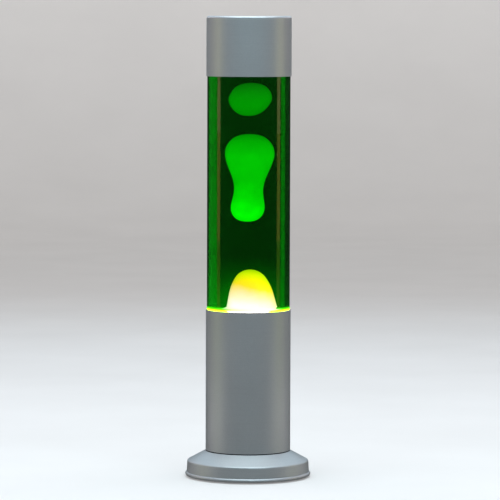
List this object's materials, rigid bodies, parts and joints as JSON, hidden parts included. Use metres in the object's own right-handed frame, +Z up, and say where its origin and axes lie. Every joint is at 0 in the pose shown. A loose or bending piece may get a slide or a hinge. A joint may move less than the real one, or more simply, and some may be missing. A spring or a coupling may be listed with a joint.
{
  "type": "lava lamp",
  "caption": "Tube-shaped lava lamp: a sealed glass bottle of green liquid and wax blobs between a satin silver cap and a flared base with a reflector bulb.",
  "frame": {"origin": "centre of the lamp on the surface that it stands on", "axes": "+Z up along the lamp's axis, +Y towards the cord inlet at the back, +X to the right seen from the front"},
  "size_m": [0.1036, 0.1036, 0.38],
  "materials": {
    "satin_silver": "satin",
    "black_plastic": "matte",
    "zinc_steel": "satin",
    "black_rubber": "matte",
    "bare_aluminium": "satin",
    "silicone": "matte",
    "phenolic": "satin",
    "nickel_brass": "gloss",
    "brass": "satin",
    "white_nylon": "satin",
    "brown_insulation": "satin",
    "blue_insulation": "satin",
    "green_insulation": "satin",
    "solder": "satin",
    "black_glass": "gloss",
    "bulb_glass": "gloss",
    "clear_glass": "gloss",
    "tungsten": "satin",
    "seal_white": "matte",
    "closure_gold": "gloss",
    "molten_wax": "satin",
    "steel_wire": "satin",
    "green_liquid": "gloss",
    "green_wax": "satin",
    "grey_plastic": "satin",
    "foam": "matte"
  },
  "bodies": {
    "base": {"base_tube": "satin_silver", "foot_skirt": "satin_silver", "base_plate": "black_plastic", "plate_lugs": "zinc_steel", "plate_screws": "zinc_steel", "rubber_feet": "black_rubber", "seat_ring": "bare_aluminium", "seat_gasket": "silicone", "lampholder_bracket": "zinc_steel", "bracket_screws": "zinc_steel", "bracket_nuts": "zinc_steel", "lampholder_body": "phenolic", "lampholder_screws": "zinc_steel", "lampholder_thread": "nickel_brass", "lampholder_contact": "nickel_brass", "lampholder_terminals": "brass", "terminal_block": "white_nylon", "terminal_block_screws": "zinc_steel", "live_lead": "brown_insulation", "neutral_lead": "blue_insulation", "earth_lead": "green_insulation", "earth_terminal": "nickel_brass", "earth_screw": "brass", "cord_bushing": "black_plastic"},
    "bulb_tip": {"bulb_contact": "solder"},
    "bulb": {"bulb_insulator": "black_glass", "bulb_screw_shell": "nickel_brass", "bulb_envelope": "bulb_glass", "bulb_stem": "clear_glass", "bulb_support_wires": "nickel_brass", "bulb_filament": "tungsten"},
    "bottle": {"glass_bottle": "clear_glass", "closure_seal": "seal_white", "crown_closure": "closure_gold", "wax_mound": "molten_wax", "heating_coil": "steel_wire", "lamp_liquid": "green_liquid"},
    "middle_blob": {"wax_blob_middle": "green_wax"},
    "upper_blob": {"wax_blob_upper": "green_wax"},
    "cap": {"top_cap": "satin_silver", "cap_insert": "grey_plastic", "cap_sleeve": "seal_white", "cap_pad": "foam"}
  },
  "joints": [
    {"name": "bottle_lift", "type": "slide", "parent": "base", "child": "bottle", "axis": [0, 0, 1], "range_m": [0, 0.06]},
    {"name": "cap_lift", "type": "slide", "parent": "bottle", "child": "cap", "axis": [0, 0, 1], "range_m": [0, 0.08]},
    {"name": "upper_blob_rise", "type": "slide", "parent": "bottle", "child": "upper_blob", "axis": [0, 0, 1], "range_m": [-0.006, 0.01], "deforming": ["lamp_liquid"]},
    {"name": "middle_blob_rise", "type": "slide", "parent": "bottle", "child": "middle_blob", "axis": [0, 0, 1], "range_m": [-0.034, 0.006], "deforming": ["lamp_liquid"]},
    {"name": "bulb_advance", "type": "slide", "parent": "base", "child": "bulb_tip", "axis": [0, 0, 1], "range_m": [0, 0.0113]},
    {"name": "bulb_turn", "type": "hinge", "parent": "bulb_tip", "child": "bulb", "pos_m": [0, 0, 0.03], "axis": [0, 0, 1], "range_deg": [0, 1440]}
  ],
  "couplings": [
    {"joint": "bulb_advance", "follows": "bulb_turn", "m_per_rad": 0.00044882}
  ]
}
